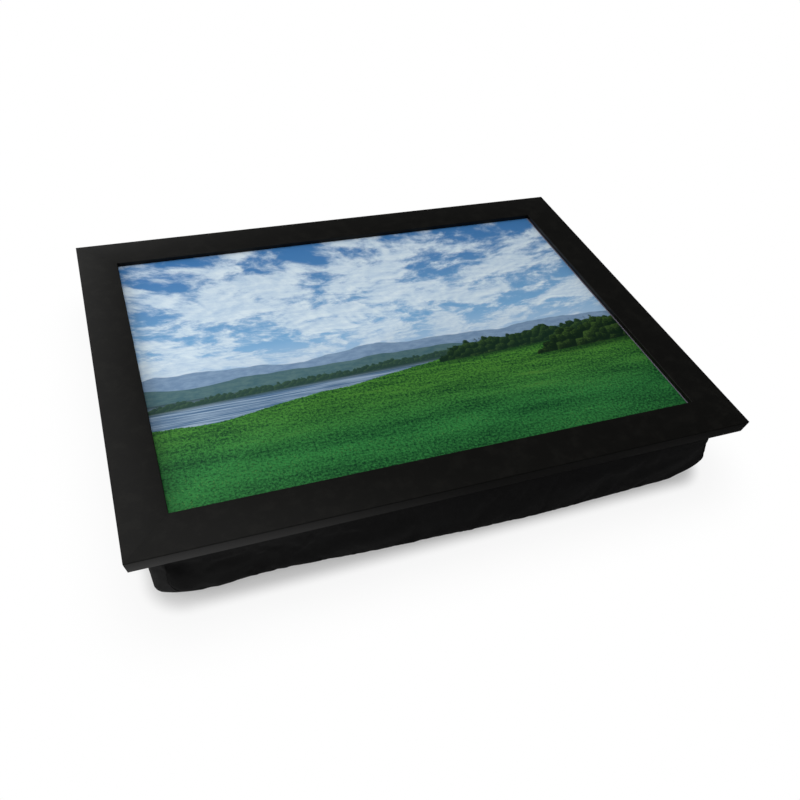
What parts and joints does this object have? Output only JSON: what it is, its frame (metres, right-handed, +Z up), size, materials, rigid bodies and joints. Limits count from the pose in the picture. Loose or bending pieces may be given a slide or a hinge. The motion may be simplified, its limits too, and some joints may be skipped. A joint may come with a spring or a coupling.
{
  "type": "lap tray",
  "caption": "Rectangular lap tray: a mitred frame rim round a recessed printed board, on a bead-filled fabric cushion that comes off the tray and closes with a zip at the back.",
  "frame": {"origin": "on the floor under the middle of the tray", "axes": "+X right along the long side, +Y to the back (the top of the picture), +Z up"},
  "size_m": [0.44, 0.331, 0.058],
  "materials": {
    "black_painted_wood": "satin",
    "clear_film": "gloss",
    "printed_paper": "satin",
    "fibreboard": "matte",
    "steel": "satin",
    "hook_nylon": "matte",
    "black_fabric": "matte",
    "bead_filling": "matte",
    "zip_tape": "matte",
    "zip_coil": "satin",
    "zip_metal": "satin"
  },
  "bodies": {
    "cushion": {"cushion_wrap_band": "black_fabric", "cushion_front_panel": "black_fabric", "cushion_back_lower_panel": "black_fabric", "cushion_back_upper_panel": "black_fabric", "cushion_top_panel": "black_fabric", "zip_end_tab_left": "black_fabric", "zip_end_tab_right": "black_fabric", "bead_filling": "bead_filling", "loop_strip_front_left": "hook_nylon", "loop_strip_front_right": "hook_nylon", "loop_strip_back_left": "hook_nylon", "loop_strip_back_right": "hook_nylon", "zip_tape_upper": "zip_tape", "zip_tape_lower": "zip_tape", "zip_coil_upper": "zip_coil", "zip_coil_lower": "zip_coil", "zip_stop_left": "zip_metal", "zip_stop_right": "zip_metal"},
    "tray": {"frame_rail_front": "black_painted_wood", "frame_rail_right": "black_painted_wood", "frame_rail_back": "black_painted_wood", "frame_rail_left": "black_painted_wood", "clear_surface_film": "clear_film", "picture_print": "printed_paper", "picture_board": "fibreboard", "corner_nail_front_left_outer": "steel", "corner_nail_front_left_inner": "steel", "corner_nail_front_right_outer": "steel", "corner_nail_front_right_inner": "steel", "corner_nail_back_right_outer": "steel", "corner_nail_back_right_inner": "steel", "corner_nail_back_left_outer": "steel", "corner_nail_back_left_inner": "steel", "retaining_point_front_1": "steel", "retaining_point_front_2": "steel", "retaining_point_front_3": "steel", "retaining_point_right_1": "steel", "retaining_point_right_2": "steel", "retaining_point_back_1": "steel", "retaining_point_back_2": "steel", "retaining_point_back_3": "steel", "retaining_point_left_1": "steel", "retaining_point_left_2": "steel", "hook_strip_front_left": "hook_nylon", "hook_strip_front_right": "hook_nylon", "hook_strip_back_left": "hook_nylon", "hook_strip_back_right": "hook_nylon"},
    "zip_slider": {"zip_slider": "zip_metal"},
    "zip_pull": {"zip_pull": "zip_metal"}
  },
  "joints": [
    {"name": "tray_release", "type": "slide", "parent": "cushion", "child": "tray", "axis": [0, 0, 1], "range_m": [0, 0.06]},
    {"name": "zip_slide", "type": "slide", "parent": "cushion", "child": "zip_slider", "axis": [-1, 0, 0], "range_m": [0, 0.2412]},
    {"name": "pull_swing", "type": "hinge", "parent": "zip_slider", "child": "zip_pull", "pos_m": [0.1181, 0.16045, 0.0227], "axis": [0, 0, -1], "range_deg": [0, 180]}
  ]
}
